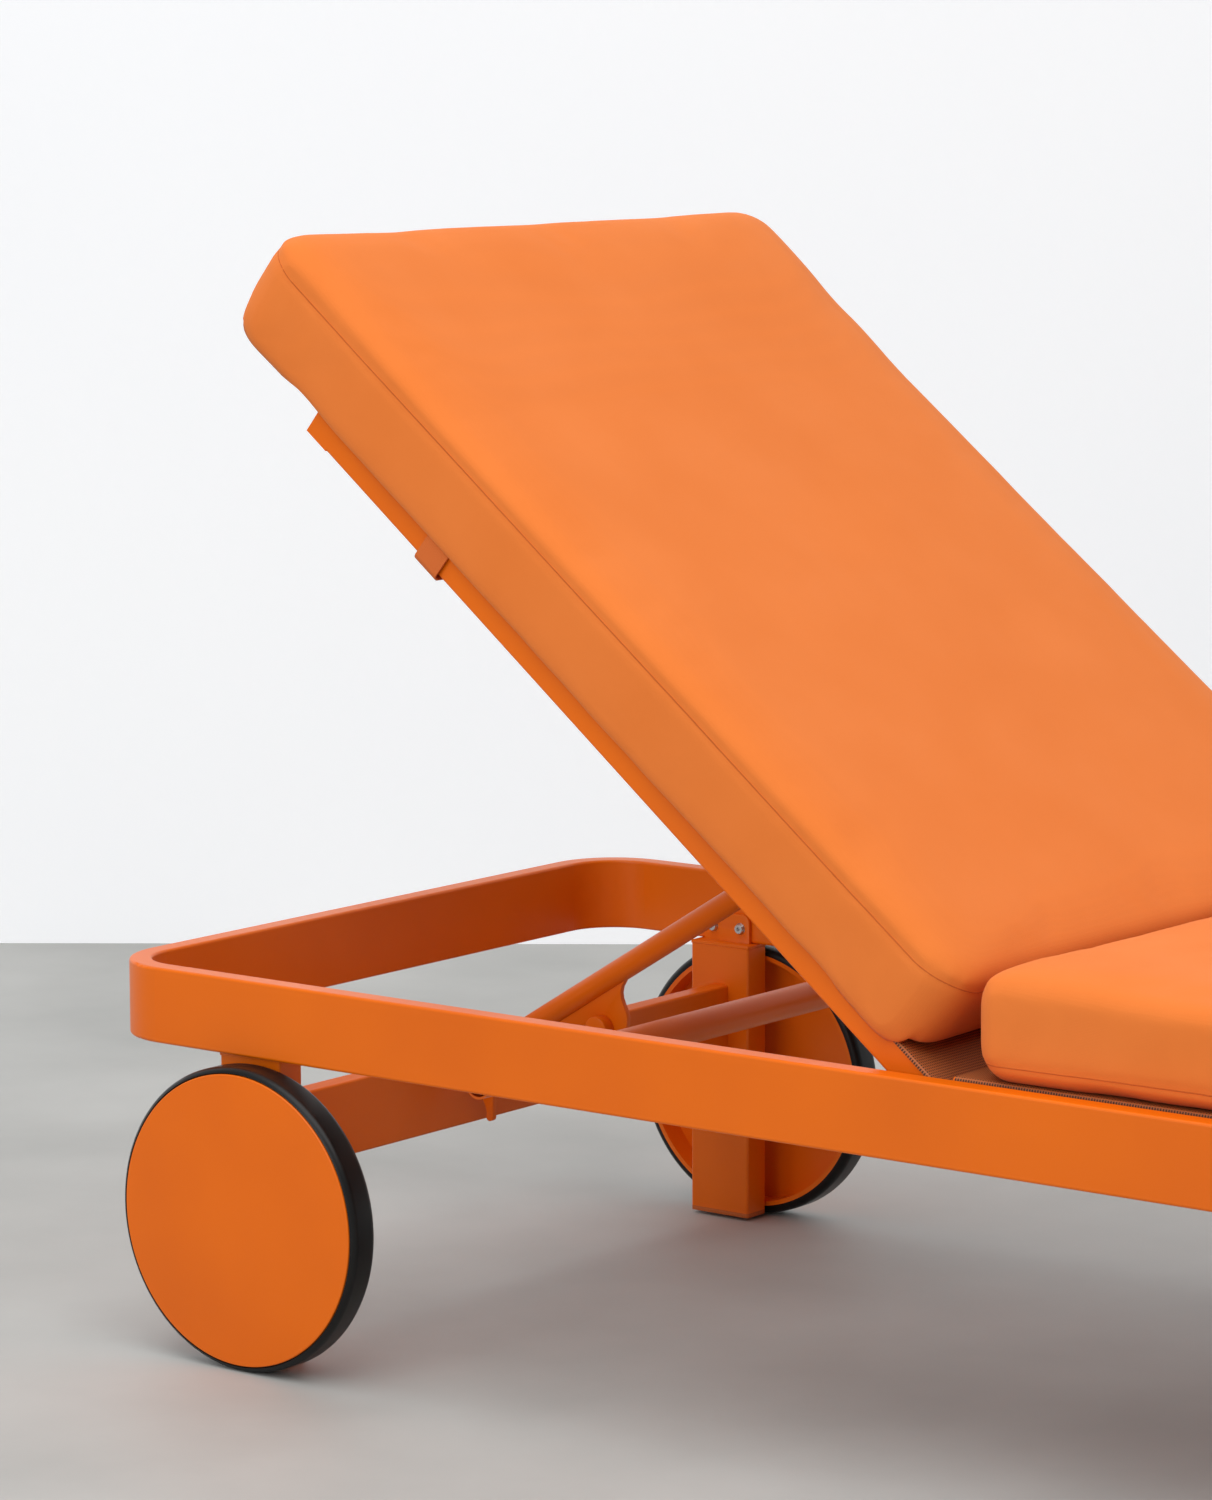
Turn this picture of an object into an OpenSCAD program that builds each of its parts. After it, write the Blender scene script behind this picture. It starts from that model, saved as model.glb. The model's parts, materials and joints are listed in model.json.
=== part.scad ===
// Reclining sun lounger with a tubular aluminium frame, two wheels and a
// backrest held up by one central prop. Millimetres, +Z up, +X from the head
// end to the foot end. The origin is on the ground at the middle of the frame.

/* [Frame] */
// Length of the outer frame
frame_len = 1960; // [1700:1:2400]
// Width of the outer frame
frame_w = 680; // [560:1:820]
// Height of the rails' underside above the ground
rail_z = 254; // [236:1:320]
// Height of the rail and crossbeam section
rail_h = 63; // [50:1:80]
// Thickness of the rail and crossbeam section
rail_t = 19; // [15:0.1:24]
// Wall of the rectangular tube
tube_wall = 2; // [1.5:0.1:3]
// Edge radius of the rectangular tube
edge_r = 2.5; // [1:0.1:4]
// Outside radius of the frame's corners, seen from above
corner_r = 65; // [45:1:110]
// Distance from the head end to the joint in the side rails
joint_x = 1180; // [1100:1:1300]
// Length of the plugs that join the two half frames
joiner_len = 120; // [60:1:200]

/* [Legs] */
// Distance from each end of the frame to the middle of its legs
leg_x = 162; // [140:1:200]
// Width of a leg along the rail
leg_w = 64; // [50:1:80]
// Thickness of a leg across the rail
leg_t = 28; // [22:0.1:34]
// How far a leg's outer face lies inside the rail's outer face
leg_inset = 6; // [2:0.1:12]
// Height of the glide in the foot of a leg
glide_h = 8; // [4:1:14]
// Gap between the ground and the legs that carry the wheels
wheel_leg_lift = 3; // [1:0.5:6]
// Width of the fixing tab on top of a leg
tab_w = 50; // [40:1:60]
// Height of the fixing tab above the rails' underside
tab_h = 26; // [20:1:34]
// Thickness of the fixing tab
tab_t = 4; // [3:0.5:6]
// Spacing of the two screws in a tab
tab_screw_gap = 30; // [24:1:34]
// Distance from the top of the leg to the underside of the crossbeam
beam_drop = 101; // [80:1:130]

/* [Wheels] */
// Diameter of a wheel over the tyre
wheel_d = 250; // [200:1:262]
// Width of a wheel
wheel_w = 29.5; // [22:0.5:40]
// Diameter of the flat disc on the outside of a wheel
cover_d = 240; // [186:1:242]
// Gap between a wheel and its leg
wheel_gap = 2.5; // [1.5:0.1:6]
// Distance from the middle of a leg to the axle, toward the foot end
axle_shift = 11; // [0:0.5:14]
// Diameter of the wheel axle
axle_d = 10; // [8:0.5:14]

/* [Backrest] */
// Angle of the backrest above flat
back_angle = 38.7; // [30:0.1:42]
// Distance from the head end to the backrest hinge
hinge_x = 802; // [790:1:820]
// Length of the backrest frame from the hinge to its top
back_len = 747; // [700:1:750]
// Side of the square tube of the backrest and seat frames
deck_tube = 25; // [20:1:28]
// Wall of the square tube
deck_wall = 1.8; // [1.5:0.1:2.5]
// Gap between the rails and the backrest or seat frame
deck_gap = 9; // [6:0.5:12]
// Outside radius of the seat frame's corners at the foot end
deck_corner_r = 45; // [35:1:70]
// Thickness of the mesh fabric
mesh_t = 1.5; // [1:0.1:2]
// Diameter of the hinge bolts
hinge_bolt_d = 8; // [6:0.5:10]

/* [Prop] */
// Diameter of the prop tube
prop_d = 20; // [16:1:21]
// Distance from the hinge to the top of the prop, along the backrest
prop_u = 281.6; // [275:0.1:290]
// Depth of the prop's top pivot below the backrest frame
prop_drop = 7.5; // [7:0.1:9]
// Diameter of the pin at the top of the prop
prop_pin_d = 8; // [6:0.5:9]
// Diameter of the rod that the prop rests on
rod_d = 14; // [11:0.1:17]
// Distance from the crossbeam's face to the rod
rod_x = 31.5; // [28:0.5:40]
// Height of the rod above the top of the crossbeam
rod_rise = 2; // [-4:0.5:4]
// Distance from the middle of the lounger to each prop plate
plate_y = 80; // [60:1:110]
// Thickness of a prop plate
plate_t = 5; // [4:0.5:8]
// Diameter of the collars on the rod
collar_d = 22; // [20:1:34]
// Thickness of the hook plate under the prop
hook_t = 5; // [4:0.5:8]
// Diameter of the grip knob on the hook plate
grip_d = 22; // [16:1:23]
// Length of the grip knob
grip_len = 29; // [20:1:36]
// Diameter of the tube across the frame that stiffens it
cross_tube_d = 26; // [20:0.5:26]
// Distance from the head end to that tube
cross_tube_x = 389; // [380:1:400]
// Height of that tube's middle above the rails' underside
cross_tube_rise = 4; // [2:0.5:4]

/* [Cushions] */
// Width of the cushions
pad_w = 644; // [520:1:680]
// Thickness of the back cushion
back_pad_t = 84; // [50:1:100]
// Thickness of the seat cushion
seat_pad_t = 80; // [50:1:90]
// Length of the back cushion
back_pad_len = 838; // [790:1:860]
// Width of the straps that hold the back cushion
strap_w = 26; // [20:1:50]
// Distance from the hinge to the straps
strap_u = 588; // [480:1:640]
// Thickness of the straps
strap_t = 1.5; // [1:0.1:2]

/* [Hidden] */
$fn = 48;

frame_orange = [0.80, 0.37, 0.08];
cushion_orange = [0.95, 0.50, 0.20];
mesh_brown = [0.55, 0.25, 0.08];
tyre_black = [0.05, 0.05, 0.05];
steel = [0.72, 0.72, 0.74];
plastic_black = [0.08, 0.08, 0.08];

gap = 0.3;                 // clearance between parts that move apart
running = 0.05;            // radial clearance of a running fit
head_x = -frame_len / 2;
foot_x = frame_len / 2;
rail_y = frame_w / 2;
rail_in = rail_y - rail_t;
rail_top = rail_z + rail_h;
leg_out = rail_y - leg_inset;
leg_in = leg_out - leg_t;
cap_t = 3;                 // plate that closes the top of a leg
leg_top = rail_z - cap_t;
beam_z = rail_z - beam_drop;
beam_top = beam_z + rail_h;
// A wheel taller than the rails' underside stands clear of the rails
wheel_in = (wheel_d > rail_z - 3 ? rail_y : leg_out) + wheel_gap;
wheel_out = wheel_in + wheel_w;
axle_x = head_x + leg_x + axle_shift;
axle_z = wheel_d / 2;
cover_t = 3;
core_out = wheel_out - cover_t;
tyre_seat_r = wheel_d / 2 - 7.5;
bush_wall = 2;
axle_head_d = axle_d + 8;
axle_head_t = 3;
nut_t = 8;
deck_out = rail_in - deck_gap;
deck_mid = deck_out - deck_tube / 2;
deck_r = deck_tube / 2;
deck_z = rail_top - deck_r - 0.5;     // middle of the seat and backrest tubes
hinge_pos = [head_x + hinge_x, 0, deck_z];
seat_x = hinge_x + deck_r + 15.5;     // start of the seat frame from the head end
pad_rest = deck_r + mesh_t + 0.5;     // underside of a cushion above the tube's middle
pad_low_u = 30;            // lower end of the back cushion, from the hinge
// The raised back cushion's lower corner just clears the seat cushion
seat_pad_x = (pad_rest + back_pad_t) * sin(back_angle) - pad_low_u * cos(back_angle) + 2;
beam_face = head_x + leg_x + rail_t / 2;
rod_pos = [beam_face + rod_x, 0, beam_top + rod_rise];
prop_r = prop_d / 2;
rod_r = rod_d / 2;
top_pivot = [-prop_u, 0, -deck_r - prop_drop];     // in the backrest's own frame
pivot_pos = hinge_pos + [
    top_pivot[0] * cos(back_angle) + top_pivot[2] * sin(back_angle),
    0,
    -top_pivot[0] * sin(back_angle) + top_pivot[2] * cos(back_angle)
];
reach = sqrt(pow(pivot_pos[0] - rod_pos[0], 2) + pow(pivot_pos[2] - rod_pos[2], 2));
rest_drop = prop_r + gap + rod_r;     // from the prop's middle to the rod's middle
prop_angle = atan2(pivot_pos[2] - rod_pos[2], pivot_pos[0] - rod_pos[0]) - asin(rest_drop / reach);
prop_reach = sqrt(reach * reach - rest_drop * rest_drop);
foot_past = 8;             // length of prop beyond the rod
low_bar_u = 45;            // crossbars of the backrest, from the hinge
prop_bar_u = prop_u - prop_r - deck_r - 7.5;
eye_w = 22;                // width of the eye at the top of the prop
ear_t = 4;                 // ears on both sides of that eye
ear_in = eye_w / 2 + 0.5;
cross_tube_z = rail_z + cross_tube_rise;
tab_screw_d = 5;
seat_screw_d = 6;
// Places of the fixings between the side rails and the seat frame
seat_fix_x = [for (i = [0:2]) head_x + seat_x + 60 + i * (frame_len - seat_x - 220) / 2];
stop_x = head_x + 300;
stop_len = 40;
pad_t = 4;                 // plastic pad on a backrest stop
flange_t = 1.5;            // flanges of the hinge bushes
hinge_bush_d = hinge_bolt_d + 4;

// ---- shapes used by several parts ----

// Rectangle with rounded corners, x by y, centred
module rounded_rect(x, y, r) {
    square([x - 2 * r, y], center = true);
    square([x, y - 2 * r], center = true);
    for (sx = [-1, 1], sy = [-1, 1])
        translate([sx * (x / 2 - r), sy * (y / 2 - r)]) circle(r = r);
}

// Section of a rectangular tube, x by y outside
module tube_section(x, y, r, wall) {
    difference() {
        rounded_rect(x, y, r);
        square([x - 2 * wall, y - 2 * wall], center = true);
    }
}

// Copies its children to the right (-Y) or left (+Y) side
module on_side(side) {
    if (side < 0) children();
    else mirror([0, 1, 0]) children();
}

// Tube of the given section from one X to another at a given Y and Z
module bar_x(x0, x1, y, z, w, h, r, wall) {
    translate([x0, y, z])
        rotate([90, 0, 90])
            linear_extrude(x1 - x0) tube_section(w, h, r, wall);
}

// Tube along Y, centred on the middle plane
module bar_y(x, z, len, w, h, r, wall) {
    translate([x, len / 2, z])
        rotate([90, 0, 0])
            linear_extrude(len) tube_section(w, h, r, wall);
}

// Quarter bend of a tube round the head end's right corner
module bend(x, y, z, mid_r, w, h, r, wall, turn) {
    translate([x, y, z])
        rotate([0, 0, turn])
            rotate_extrude(angle = 90) translate([mid_r, 0]) tube_section(w, h, r, wall);
}

// Round bar along Y from one Y to another
module pin_y(x, z, y0, y1, d) {
    translate([x, y1, z]) rotate([90, 0, 0]) cylinder(d = d, h = y1 - y0);
}

// U-shaped half of the outer frame with its bend at the head end
module half_frame(len) {
    mid_r = corner_r - rail_t / 2;
    bar_y(head_x + rail_t / 2, rail_z + rail_h / 2, frame_w - 2 * corner_r,
        rail_t, rail_h, edge_r, tube_wall);
    for (side = [-1, 1]) {
        bar_x(head_x + corner_r, head_x + len, side * (rail_y - rail_t / 2), rail_z + rail_h / 2,
            rail_t, rail_h, edge_r, tube_wall);
        bend(head_x + corner_r, side * (rail_y - corner_r), rail_z + rail_h / 2, mid_r,
            rail_t, rail_h, edge_r, tube_wall, side < 0 ? 180 : 90);
    }
}

// ---- frame ----

// Screw and bolt holes in the inner walls of both side rails
module rail_holes() {
    for (side = [-1, 1])
        on_side(side) {
            for (end = [0, 1], s = [-1, 1])
                mirror([end, 0, 0])
                    wall_hole(head_x + leg_x + s * tab_screw_gap / 2, rail_z + tab_h / 2, tab_screw_d);
            for (x = seat_fix_x) wall_hole(x, deck_z, seat_screw_d);
            wall_hole(hinge_pos[0], deck_z, hinge_bolt_d);
        }
}

module wall_hole(x, z, d) {
    pin_y(x, z, -rail_in - tube_wall - 1, -rail_in + 1, d);
}

module head_frame() {
    color(frame_orange)
        difference() {
            half_frame(joint_x);
            rail_holes();
        }
}

module foot_frame() {
    color(frame_orange)
        difference() {
            mirror([1, 0, 0]) half_frame(frame_len - joint_x);
            rail_holes();
        }
}

// Plugs inside the side rails where the two halves meet
module rail_joiners() {
    color(steel)
        for (side = [-1, 1])
            translate([head_x + joint_x, side * (rail_y - rail_t / 2), rail_z + rail_h / 2])
                cube([joiner_len, rail_t - 2 * tube_wall, rail_h - 2 * tube_wall], center = true);
}

// Leg at the head end; lift is the gap under it
module leg(lift, bored) {
    bottom = lift + glide_h / 2;
    color(frame_orange)
        difference() {
            translate([head_x + leg_x, -leg_out + leg_t / 2, bottom])
                linear_extrude(leg_top - bottom) tube_section(leg_w, leg_t, edge_r, tube_wall);
            if (bored) pin_y(axle_x, axle_z, -leg_out - 1, -leg_in + 1, axle_d);
        }
}

// Cap and fixing tab welded to the top of a leg
module leg_bracket() {
    x = head_x + leg_x;
    color(frame_orange) {
        translate([x - leg_w / 2, -leg_out, leg_top]) cube([leg_w, leg_t, cap_t]);
        difference() {
            translate([x, -rail_in + tab_t, rail_z])
                rotate([90, 0, 0])
                    linear_extrude(tab_t) {
                        translate([-tab_w / 2, 0]) square([tab_w, tab_h - 8]);
                        translate([-tab_w / 2 + 8, 0]) square([tab_w - 16, tab_h]);
                        for (s = [-1, 1]) translate([s * (tab_w / 2 - 8), tab_h - 8]) circle(r = 8);
                    }
            for (s = [-1, 1])
                pin_y(x + s * tab_screw_gap / 2, rail_z + tab_h / 2,
                    -rail_in - 1, -rail_in + tab_t + 1, tab_screw_d);
        }
    }
}

// Plastic glide plugged into the bottom of a leg
module glide(lift) {
    color(frame_orange)
        translate([head_x + leg_x, -leg_out + leg_t / 2, lift]) {
            linear_extrude(glide_h / 2) rounded_rect(leg_w, leg_t, edge_r);
            linear_extrude(glide_h + 12)
                square([leg_w - 2 * tube_wall, leg_t - 2 * tube_wall], center = true);
        }
}

// Button-head screws that hold the tabs to the rails
module leg_screws() {
    color(steel)
        for (end = [0, 1], side = [-1, 1], s = [-1, 1])
            mirror([end, 0, 0])
                on_side(side)
                    translate([head_x + leg_x + s * tab_screw_gap / 2, -rail_in + tab_t, rail_z + tab_h / 2])
                        rotate([90, 0, 0]) {
                            cylinder(d = tab_screw_d, h = tab_t + tube_wall);
                            difference() {
                                translate([0, 0, -3]) cylinder(d1 = 8, d2 = 11, h = 3);
                                translate([0, 0, -3.5]) cylinder(d = 4, h = 2.5, $fn = 6);
                            }
                        }
}

// Crossbeam between the legs at the head end
module beam() {
    color(frame_orange)
        bar_y(head_x + leg_x, beam_z + rail_h / 2, 2 * leg_in, rail_t, rail_h, edge_r, tube_wall);
}

// Round tube across the frame, under the backrest
module cross_tube() {
    color(frame_orange)
        difference() {
            pin_y(head_x + cross_tube_x, cross_tube_z, -rail_in, rail_in, cross_tube_d);
            pin_y(head_x + cross_tube_x, cross_tube_z, -rail_in - 1, rail_in + 1,
                cross_tube_d - 2 * tube_wall);
        }
}

// Bracket on the rail that the flat backrest lies on
module backrest_stop() {
    rest_z = deck_z - deck_r - pad_t - 0.5;
    color(frame_orange)
        translate([stop_x, -rail_in, rest_z - 3]) {
            cube([stop_len, rail_in - deck_mid + 4, 3]);
            translate([0, 0, -14]) cube([stop_len, 3, 15]);
        }
}

module stop_pads() {
    color(plastic_black)
        for (side = [-1, 1])
            on_side(side)
                translate([stop_x + 4, -deck_out, deck_z - deck_r - pad_t - 0.5])
                    cube([stop_len - 8, deck_out - deck_mid + 2, pad_t]);
}

// ---- wheels ----

// Bolt that a wheel turns on, held in the leg
module axle() {
    color(steel) {
        pin_y(axle_x, axle_z, -core_out + axle_head_t + 0.6, -leg_in + nut_t, axle_d);
        pin_y(axle_x, axle_z, -core_out + 0.6, -core_out + 0.6 + axle_head_t, axle_head_d);
    }
}

module axle_nuts() {
    color(steel)
        for (side = [-1, 1])
            on_side(side)
                difference() {
                    translate([axle_x, -leg_in + nut_t, axle_z])
                        rotate([90, 0, 0]) cylinder(d = axle_d * 1.9, h = nut_t, $fn = 6);
                    pin_y(axle_x, axle_z, -leg_in - 1, -leg_in + nut_t + 1, axle_d);
                }
}

// Washers between the legs and the wheels
module axle_washers() {
    color(steel)
        for (side = [-1, 1])
            on_side(side)
                difference() {
                    pin_y(axle_x, axle_z, -wheel_in + gap, -leg_out, axle_d + 10);
                    pin_y(axle_x, axle_z, -wheel_in, -leg_out + 1, axle_d);
                }
}

// Places a profile drawn in radius and depth (0 at the wheel's inner face)
module wheel_spin() {
    translate([axle_x, -wheel_in, axle_z])
        rotate([90, 0, 0]) rotate_extrude($fn = 96) children();
}

// Rim, web and hub of a wheel, open on the side of the leg
module wheel_core() {
    depth = wheel_w - cover_t;
    rim_t = 4;
    web_t = 4;
    hub_r = axle_d / 2 + bush_wall + 8;
    bore_r = axle_d / 2 + running + bush_wall;
    head_room = axle_head_t + 0.6 + gap;
    color(frame_orange)
        wheel_spin()
            difference() {
                union() {
                    translate([0, depth - web_t]) square([tyre_seat_r, web_t]);
                    square([hub_r, depth]);
                    translate([tyre_seat_r - rim_t, 0]) square([rim_t, depth]);
                }
                translate([0, -1]) square([bore_r, depth + 2]);
                translate([0, depth - head_room]) square([axle_head_d / 2 + 1, head_room + 1]);
            }
}

// Flat disc on the outside of a wheel
module wheel_cover() {
    color(frame_orange)
        wheel_spin() translate([0, wheel_w - cover_t]) square([cover_d / 2, cover_t]);
}

// Thin tyre with a rounded tread
module tyre() {
    tread_r = 7;
    wheel_r = wheel_d / 2;
    color(tyre_black)
        wheel_spin()
            difference() {
                union() {
                    translate([tyre_seat_r, 0]) square([wheel_r - tread_r - tyre_seat_r, wheel_w]);
                    translate([tyre_seat_r, tread_r]) square([wheel_r - tyre_seat_r, wheel_w - 2 * tread_r]);
                    for (y = [tread_r, wheel_w - tread_r])
                        translate([wheel_r - tread_r, y]) circle(r = tread_r);
                }
                translate([0, wheel_w - cover_t]) square([cover_d / 2, cover_t + 1]);
                square([tyre_seat_r, wheel_w]);
            }
}

module wheel_bush() {
    bore_r = axle_d / 2 + running;
    depth = wheel_w - cover_t - axle_head_t - 0.6 - gap;
    color(plastic_black) wheel_spin() translate([bore_r, 0]) square([bush_wall, depth]);
}

// ---- seat ----

// Hinge bolts fixed in the side rails
module hinge_bolts() {
    head_y = -deck_out + deck_tube + flange_t + gap;
    color(steel)
        for (side = [-1, 1])
            on_side(side) {
                pin_y(hinge_pos[0], deck_z, -rail_in - tube_wall, head_y, hinge_bolt_d);
                pin_y(hinge_pos[0], deck_z, head_y, head_y + 3, hinge_bolt_d + 6);
            }
}

module hinge_spacers() {
    color(steel)
        for (side = [-1, 1])
            on_side(side)
                difference() {
                    pin_y(hinge_pos[0], deck_z, -rail_in, -deck_out - flange_t - gap, hinge_bolt_d + 8);
                    pin_y(hinge_pos[0], deck_z, -rail_in - 1, -deck_out, hinge_bolt_d);
                }
}

// Square tube of the seat and backrest frames, straight or bent
module deck_bar_x(x0, x1, y, z) {
    bar_x(x0, x1, y, z, deck_tube, deck_tube, edge_r, deck_wall);
}

module deck_bar_y(x, z, len) {
    bar_y(x, z, len, deck_tube, deck_tube, edge_r, deck_wall);
}

module deck_bend(x, y, z, turn) {
    bend(x, y, z, deck_corner_r - deck_r, deck_tube, deck_tube, edge_r, deck_wall, turn);
}

// Welded square-tube frame that carries the seat mesh
module seat_frame() {
    x0 = head_x + seat_x;
    x1 = foot_x - rail_t - deck_gap;
    color(frame_orange)
        difference() {
            union() {
                for (side = [-1, 1]) {
                    deck_bar_x(x0, x1 - deck_corner_r, side * deck_mid, deck_z);
                    deck_bend(x1 - deck_corner_r, side * (deck_out - deck_corner_r), deck_z,
                        side < 0 ? 270 : 0);
                }
                for (x = [x0 + deck_r, (x0 + x1) / 2])
                    deck_bar_y(x, deck_z, 2 * (deck_out - deck_tube));
                deck_bar_y(x1 - deck_r, deck_z, 2 * (deck_out - deck_corner_r));
            }
            for (x = seat_fix_x, side = [-1, 1])
                on_side(side) pin_y(x, deck_z, -deck_out - 1, -deck_out + deck_tube + 1, seat_screw_d);
        }
}

// Sheet with two rounded corners at its far end, from x0 to x1
module sheet(x0, x1, half_w, r, z, t) {
    translate([0, 0, z])
        linear_extrude(t) {
            translate([x0, -half_w]) square([x1 - r - x0, 2 * half_w]);
            translate([x0, -half_w + r]) square([x1 - x0, 2 * (half_w - r)]);
            for (s = [-1, 1]) translate([x1 - r, s * (half_w - r)]) circle(r = r);
        }
}

module seat_mesh() {
    inset = 2;
    color(mesh_brown)
        sheet(head_x + seat_x + inset, foot_x - rail_t - deck_gap - inset, deck_out - inset,
            deck_corner_r - inset, deck_z + deck_r, mesh_t);
}

module seat_spacers() {
    color(steel)
        for (x = seat_fix_x, side = [-1, 1])
            on_side(side)
                difference() {
                    pin_y(x, deck_z, -rail_in, -deck_out, seat_screw_d + 10);
                    pin_y(x, deck_z, -rail_in - 1, -deck_out + 1, seat_screw_d);
                }
}

// Screws from the seat frame's inside into the rails
module seat_screws() {
    color(steel)
        for (x = seat_fix_x, side = [-1, 1])
            on_side(side) {
                pin_y(x, deck_z, -rail_in - tube_wall, -deck_out + deck_tube, seat_screw_d);
                pin_y(x, deck_z, -deck_out + deck_tube, -deck_out + deck_tube + 3, seat_screw_d + 5);
            }
}

// Block with rounded corners in plan
module pad_block(x0, x1, z, t) {
    r = 40;
    translate([(x0 + x1) / 2, 0, z]) linear_extrude(t) rounded_rect(x1 - x0, pad_w, r);
}

module seat_cushion() {
    color(cushion_orange)
        pad_block(hinge_pos[0] + seat_pad_x, foot_x - 15, deck_z + pad_rest, seat_pad_t);
}

// ---- backrest, drawn flat with the hinge at the origin and turned up ----

module on_back() {
    translate(hinge_pos) rotate([0, back_angle, 0]) children();
}

module back_frame() {
    end_cap_t = 2;
    color(frame_orange)
        on_back()
            difference() {
                union() {
                    for (side = [-1, 1]) {
                        deck_bar_x(-back_len + deck_tube, 0, side * deck_mid, 0);
                        on_side(side)
                            translate([-back_len, -deck_out, -deck_r])
                                cube([deck_tube, end_cap_t, deck_tube]);
                        pin_y(0, 0, side * deck_mid - deck_r, side * deck_mid + deck_r, deck_tube);
                    }
                    deck_bar_y(-back_len + deck_r, 0, 2 * (deck_out - end_cap_t));
                    for (u = [low_bar_u, prop_bar_u])
                        deck_bar_y(-u, 0, 2 * (deck_out - deck_tube));
                }
                for (side = [-1, 1])
                    pin_y(0, 0, side * deck_mid - deck_tube, side * deck_mid + deck_tube, hinge_bush_d);
            }
}

module back_mesh() {
    inset = 2;
    color(mesh_brown)
        on_back()
            mirror([1, 0, 0])
                sheet(4, back_len - inset, deck_out - inset, 10, deck_r, mesh_t);
}

// Flanged plastic bushes in the backrest's side tubes
module hinge_bushes() {
    outer_y = -deck_out;
    inner_y = -deck_out + deck_tube;
    flange_d = hinge_bolt_d + 10;
    color(plastic_black)
        on_back()
            for (side = [-1, 1])
                on_side(side)
                    difference() {
                        union() {
                            pin_y(0, 0, outer_y, inner_y, hinge_bush_d);
                            pin_y(0, 0, outer_y - flange_t, outer_y, flange_d);
                            pin_y(0, 0, inner_y, inner_y + flange_t, flange_d);
                        }
                        pin_y(0, 0, outer_y - 5, inner_y + 5, hinge_bolt_d + 2 * running);
                    }
}

// Two ears under the backrest's crossbar that hold the prop
module prop_lugs() {
    ear_r = 10;
    ear_len = prop_u - prop_bar_u + deck_r;
    color(frame_orange)
        on_back()
            difference() {
                for (side = [-1, 1])
                    on_side(side)
                        translate([0, -ear_in, 0])
                            rotate([90, 0, 0])
                                linear_extrude(ear_t) {
                                    translate([top_pivot[0], top_pivot[2]]) circle(r = ear_r);
                                    translate([top_pivot[0], top_pivot[2] - ear_r])
                                        square([ear_len, ear_r - top_pivot[2] - deck_r]);
                                }
                pin_y(top_pivot[0], top_pivot[2], -40, 40, prop_pin_d);
            }
}

module prop_pin() {
    ear_out = ear_in + ear_t;
    head_t = 3;
    color(steel)
        on_back() {
            pin_y(top_pivot[0], top_pivot[2], -ear_out, ear_out, prop_pin_d);
            for (side = [-1, 1])
                on_side(side) pin_y(top_pivot[0], top_pivot[2], -ear_out - head_t, -ear_out, prop_pin_d + 5);
        }
}

module back_cushion() {
    color(cushion_orange)
        on_back() pad_block(-back_pad_len - pad_low_u, -pad_low_u, pad_rest, back_pad_t);
}

// Webbing strap round a side tube of the backrest
module strap() {
    side = deck_tube + 2 * strap_t;
    color(cushion_orange)
        on_back()
            translate([-strap_u - strap_w / 2, -deck_mid, 0])
                rotate([90, 0, 90])
                    linear_extrude(strap_w)
                        difference() {
                            translate([-side / 2, -side / 2]) square([side, side - strap_t]);
                            translate([-deck_r, -deck_r]) square([deck_tube, deck_tube + strap_t]);
                        }
}

// ---- prop and what it rests on ----

// Plate on the crossbeam that carries the rod
module prop_plate() {
    half = 22;
    claw = 55;
    lobe_top = rail_h * 0.1;
    color(frame_orange)
        difference() {
            translate([rod_pos[0], -plate_y + plate_t / 2, rod_pos[2]])
                rotate([90, 0, 0])
                    linear_extrude(plate_t) {
                        circle(r = half);
                        translate([0, lobe_top]) circle(r = half);
                        translate([-half, 0]) square([2 * half, lobe_top]);
                        translate([-rod_x, -half]) square([rod_x, half - rod_rise]);
                        difference() {
                            translate([-14, -claw + 3]) square([22, claw - 3]);
                            translate([-22, -claw + 3]) circle(r = 24);
                        }
                        translate([4.5, -claw + 3]) circle(r = 3.4);
                    }
            pin_y(rod_pos[0], rod_pos[2], -plate_y - plate_t, -plate_y + plate_t, rod_d);
        }
}

module prop_rod() {
    out = plate_y + plate_t / 2 + 4;
    color(steel) pin_y(rod_pos[0], rod_pos[2], -out, out, rod_d);
}

// Collars that centre the rod between the plates
module rod_collars() {
    collar_w = 10;
    inner_y = -plate_y + plate_t / 2;
    color(frame_orange)
        for (side = [-1, 1])
            on_side(side)
                difference() {
                    pin_y(rod_pos[0], rod_pos[2], inner_y, inner_y + collar_w, collar_d);
                    pin_y(rod_pos[0], rod_pos[2], inner_y - 1, inner_y + collar_w + 1, rod_d);
                }
}

// The prop's own frame: origin over the rod, +X along the tube to the pivot
module on_prop() {
    translate(rod_pos)
        rotate([0, -prop_angle, 0]) translate([0, 0, rest_drop]) children();
}

module prop_tube() {
    color(frame_orange)
        on_prop()
            difference() {
                union() {
                    translate([-foot_past, 0, 0])
                        rotate([0, 90, 0]) cylinder(d = prop_d, h = prop_reach + foot_past);
                    pin_y(prop_reach, 0, -eye_w / 2, eye_w / 2, prop_d);
                }
                pin_y(prop_reach, 0, -eye_w, eye_w, prop_pin_d + 2 * running);
                translate([-foot_past - 1, 0, 0])
                    rotate([0, 90, 0])
                        cylinder(d = prop_d - 2 * tube_wall, h = prop_reach + foot_past - prop_r - 6);
            }
}

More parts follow.
